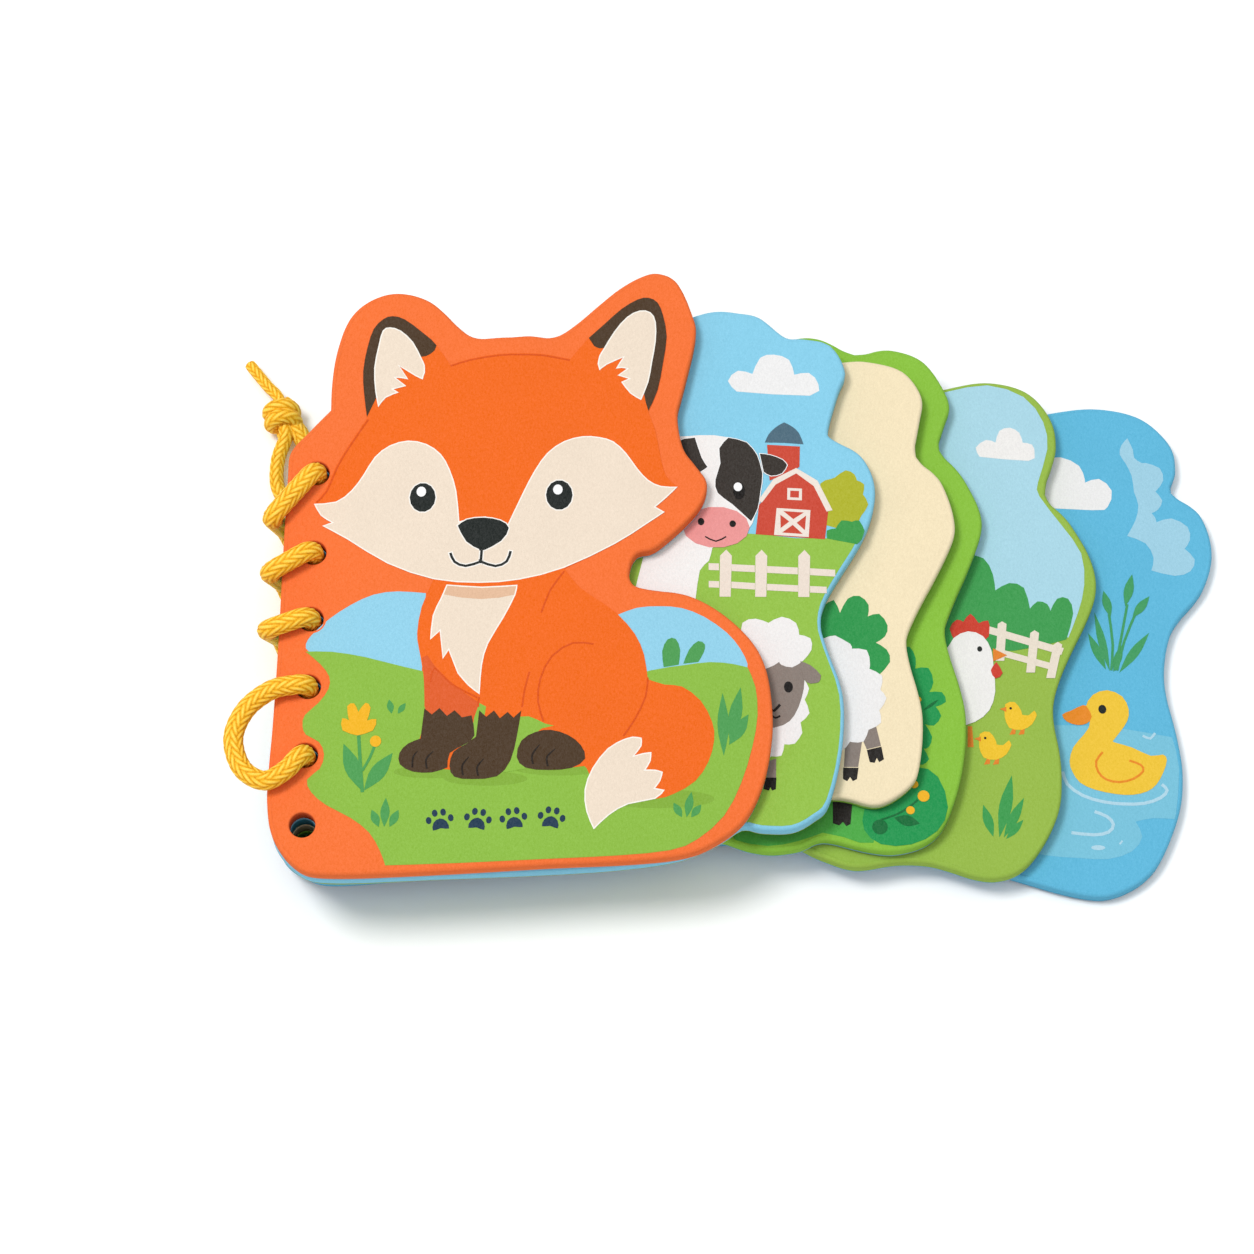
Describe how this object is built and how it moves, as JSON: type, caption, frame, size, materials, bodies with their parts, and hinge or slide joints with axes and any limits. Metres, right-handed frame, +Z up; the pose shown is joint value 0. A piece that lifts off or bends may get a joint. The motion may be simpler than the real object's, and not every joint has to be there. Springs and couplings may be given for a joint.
{
  "type": "cloth board book",
  "caption": "Cloth board book with a fox shaped front cover and shaped farm and pond leaves of stepped width, laced along the spine with a braided cord that ends in a knot.",
  "frame": {"origin": "centre of the spare lacing hole on the underside of the back board", "axes": "+X from the spine to the fore edge, +Y up the page along the row of lacing holes, +Z up through the boards from the back board to the front cover"},
  "size_m": [0.2724, 0.1761, 0.0432],
  "materials": {
    "back_board": "matte",
    "hen_leaf": "matte",
    "hedge_leaf": "matte",
    "cream_leaf": "matte",
    "cow_leaf": "matte",
    "front_cover": "matte",
    "lacing_cord": "matte",
    "cord_end": "matte",
    "cord_knot": "matte",
    "cover_sky": "matte",
    "cover_meadow": "matte",
    "cover_plants": "matte",
    "cover_flowers": "matte",
    "cover_paw_prints": "matte",
    "fox_coat": "matte",
    "fox_cream": "matte",
    "fox_brown": "matte",
    "fox_lines": "matte",
    "fox_black": "matte",
    "fox_highlights": "matte",
    "cow_meadow": "matte",
    "cow_cloud": "matte",
    "cow_trees": "matte",
    "cow_bush": "matte",
    "barn_red": "matte",
    "barn_trim": "matte",
    "silo_roof": "matte",
    "cow_fence": "matte",
    "cow_body": "matte",
    "cow_patches": "matte",
    "cow_muzzle": "matte",
    "cow_details": "matte",
    "sheep_wool": "matte",
    "sheep_face": "matte",
    "cream_bush": "matte",
    "lamb_wool": "matte",
    "lamb_legs": "matte",
    "lamb_hooves": "matte",
    "hedge_field": "matte",
    "hedge_bush": "matte",
    "hedge_vine": "matte",
    "hedge_berries": "matte",
    "hedge_hoof": "matte",
    "hen_sky": "matte",
    "hen_plants": "matte",
    "hen_body": "matte",
    "hen_fence": "matte",
    "hen_comb": "matte",
    "chicks": "matte",
    "hen_beaks": "matte",
    "hen_eyes": "matte",
    "pond_clouds": "matte",
    "pond_haze": "matte",
    "pond_water": "matte",
    "pond_reeds": "matte",
    "pond_ripples": "matte",
    "duck_body": "matte",
    "duck_bill": "matte",
    "duck_details": "matte"
  },
  "bodies": {
    "base": {"back_board": "back_board", "lacing_cord": "lacing_cord", "cord_end": "cord_end", "cord_knot": "cord_knot", "pond_clouds": "pond_clouds", "pond_haze": "pond_haze", "pond_water": "pond_water", "pond_reeds": "pond_reeds", "pond_ripples": "pond_ripples", "duck_body": "duck_body", "duck_bill": "duck_bill", "duck_details": "duck_details"},
    "hen_turn": {"hen_leaf": "hen_leaf", "hen_sky": "hen_sky", "hen_plants": "hen_plants", "hen_body": "hen_body", "hen_fence": "hen_fence", "hen_comb": "hen_comb", "chicks": "chicks", "hen_beaks": "hen_beaks", "hen_eyes": "hen_eyes"},
    "hedge_turn": {"hedge_leaf": "hedge_leaf", "hedge_field": "hedge_field", "hedge_bush": "hedge_bush", "hedge_vine": "hedge_vine", "hedge_berries": "hedge_berries", "hedge_hoof": "hedge_hoof"},
    "cream_turn": {"cream_leaf": "cream_leaf", "cream_bush": "cream_bush", "lamb_wool": "lamb_wool", "lamb_legs": "lamb_legs", "lamb_hooves": "lamb_hooves"},
    "cow_turn": {"cow_leaf": "cow_leaf", "cow_meadow": "cow_meadow", "cow_cloud": "cow_cloud", "cow_trees": "cow_trees", "cow_bush": "cow_bush", "barn_red": "barn_red", "barn_trim": "barn_trim", "silo_roof": "silo_roof", "cow_fence": "cow_fence", "cow_body": "cow_body", "cow_patches": "cow_patches", "cow_muzzle": "cow_muzzle", "cow_details": "cow_details", "sheep_wool": "sheep_wool", "sheep_face": "sheep_face"},
    "cover_turn": {"front_cover": "front_cover", "cover_sky": "cover_sky", "cover_meadow": "cover_meadow", "cover_plants": "cover_plants", "cover_flowers": "cover_flowers", "cover_paw_prints": "cover_paw_prints", "fox_coat": "fox_coat", "fox_cream": "fox_cream", "fox_brown": "fox_brown", "fox_lines": "fox_lines", "fox_black": "fox_black", "fox_highlights": "fox_highlights"}
  },
  "joints": [
    {"name": "hen_hinge", "type": "hinge", "parent": "base", "child": "hen_turn", "pos_m": [-0.012, 0, 0.01575], "axis": [0, -1, 0], "range_deg": [0, 180], "deforming": ["lacing_cord"]},
    {"name": "hedge_hinge", "type": "hinge", "parent": "hen_turn", "child": "hedge_turn", "pos_m": [-0.012, 0, 0.01575], "axis": [0, -1, 0], "range_deg": [0, 180], "deforming": ["lacing_cord"]},
    {"name": "cream_hinge", "type": "hinge", "parent": "hedge_turn", "child": "cream_turn", "pos_m": [-0.012, 0, 0.01575], "axis": [0, -1, 0], "range_deg": [0, 180], "deforming": ["lacing_cord"]},
    {"name": "cow_hinge", "type": "hinge", "parent": "cream_turn", "child": "cow_turn", "pos_m": [-0.012, 0, 0.01575], "axis": [0, -1, 0], "range_deg": [0, 180], "deforming": ["lacing_cord"]},
    {"name": "cover_hinge", "type": "hinge", "parent": "cow_turn", "child": "cover_turn", "pos_m": [-0.012, 0, 0.01575], "axis": [0, -1, 0], "range_deg": [0, 180], "deforming": ["lacing_cord"]}
  ]
}
